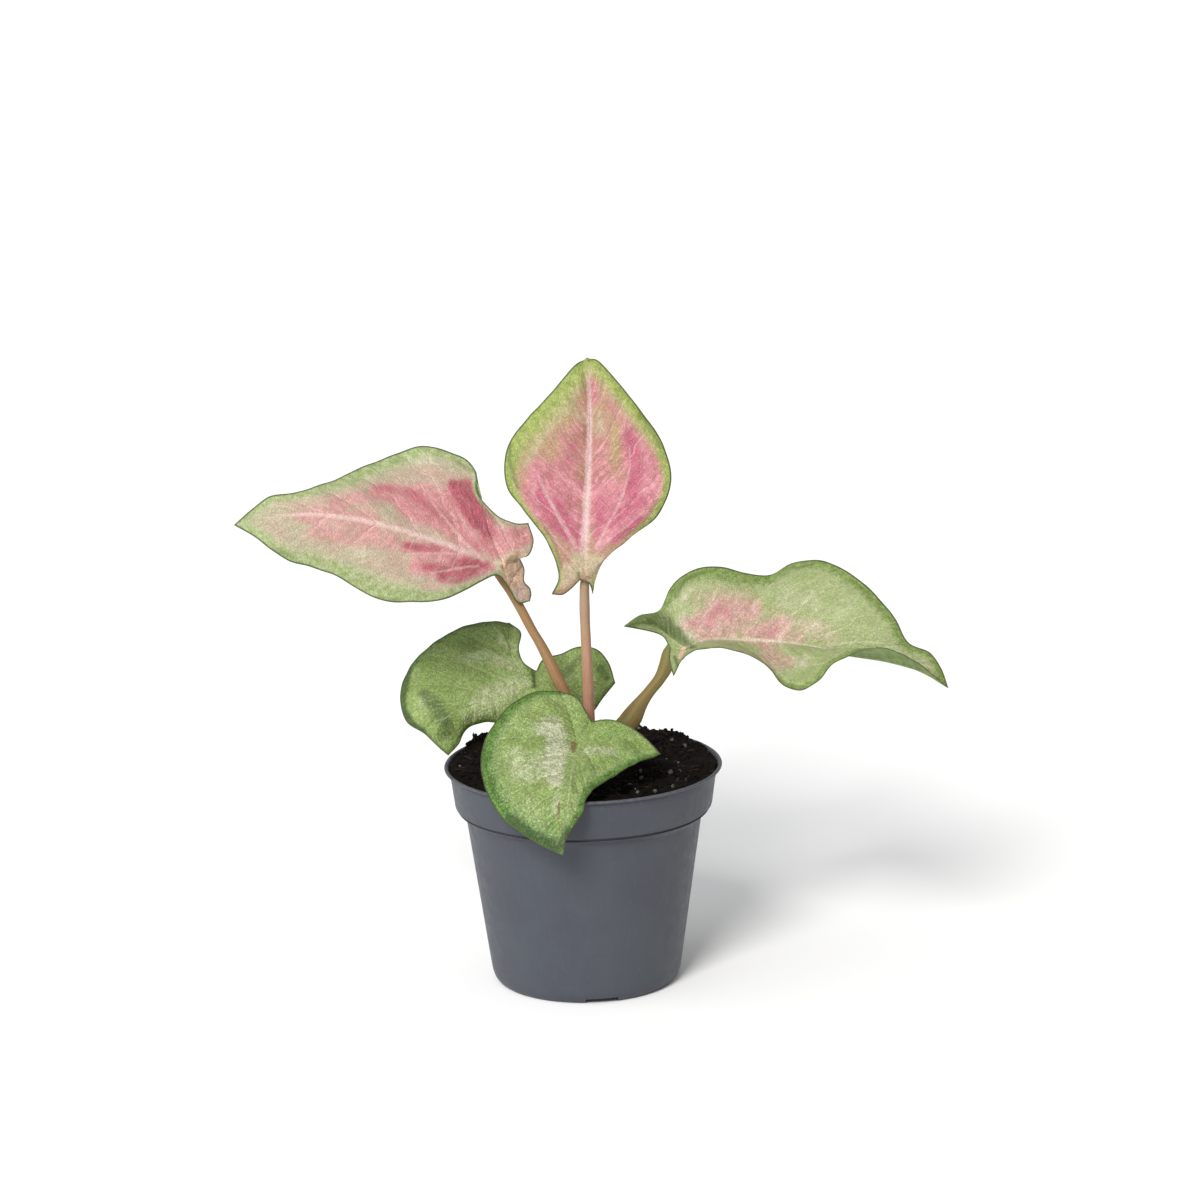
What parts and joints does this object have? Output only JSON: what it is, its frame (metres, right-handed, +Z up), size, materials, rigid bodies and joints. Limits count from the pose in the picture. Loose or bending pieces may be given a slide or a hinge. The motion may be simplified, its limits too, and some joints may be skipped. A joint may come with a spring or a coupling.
{
  "type": "potted caladium",
  "caption": "Potted foliage house plant with broad arrow-shaped leaves on slim curved stalks, rooted in potting soil in a tapered nursery pot.",
  "frame": {"origin": "centre of the pot's underside at ground level, on the pot's axis", "axes": "+Z up along the pot's axis, +X towards the tip of the right-hand leaf, -Y towards the front leaf"},
  "size_m": [0.2984, 0.1357, 0.2671],
  "materials": {
    "pot": "matt slate grey",
    "soil": "moist dark peat",
    "tuber": "rough brown skin",
    "leaf_top": "satin, pink with a yellow-green margin",
    "leaf_left": "satin, rose pink with a mottled green margin",
    "leaf_right": "satin, light green with a pink blush",
    "leaf_back": "satin, mid green",
    "leaf_front": "satin, light green with a cream centre",
    "stalk_pale": "smooth, tan brown",
    "stalk_olive": "smooth, olive brown"
  },
  "bodies": {
    "root": {"pot": "pot", "soil": "soil", "tuber": "tuber", "petiole_top": "stalk_pale", "leaf_top": "leaf_top", "petiole_left": "stalk_pale", "leaf_left": "leaf_left", "petiole_right": "stalk_olive", "leaf_right": "leaf_right", "petiole_back": "stalk_pale", "leaf_back": "leaf_back", "petiole_front": "stalk_pale", "leaf_front": "leaf_front"}
  },
  "joints": []
}
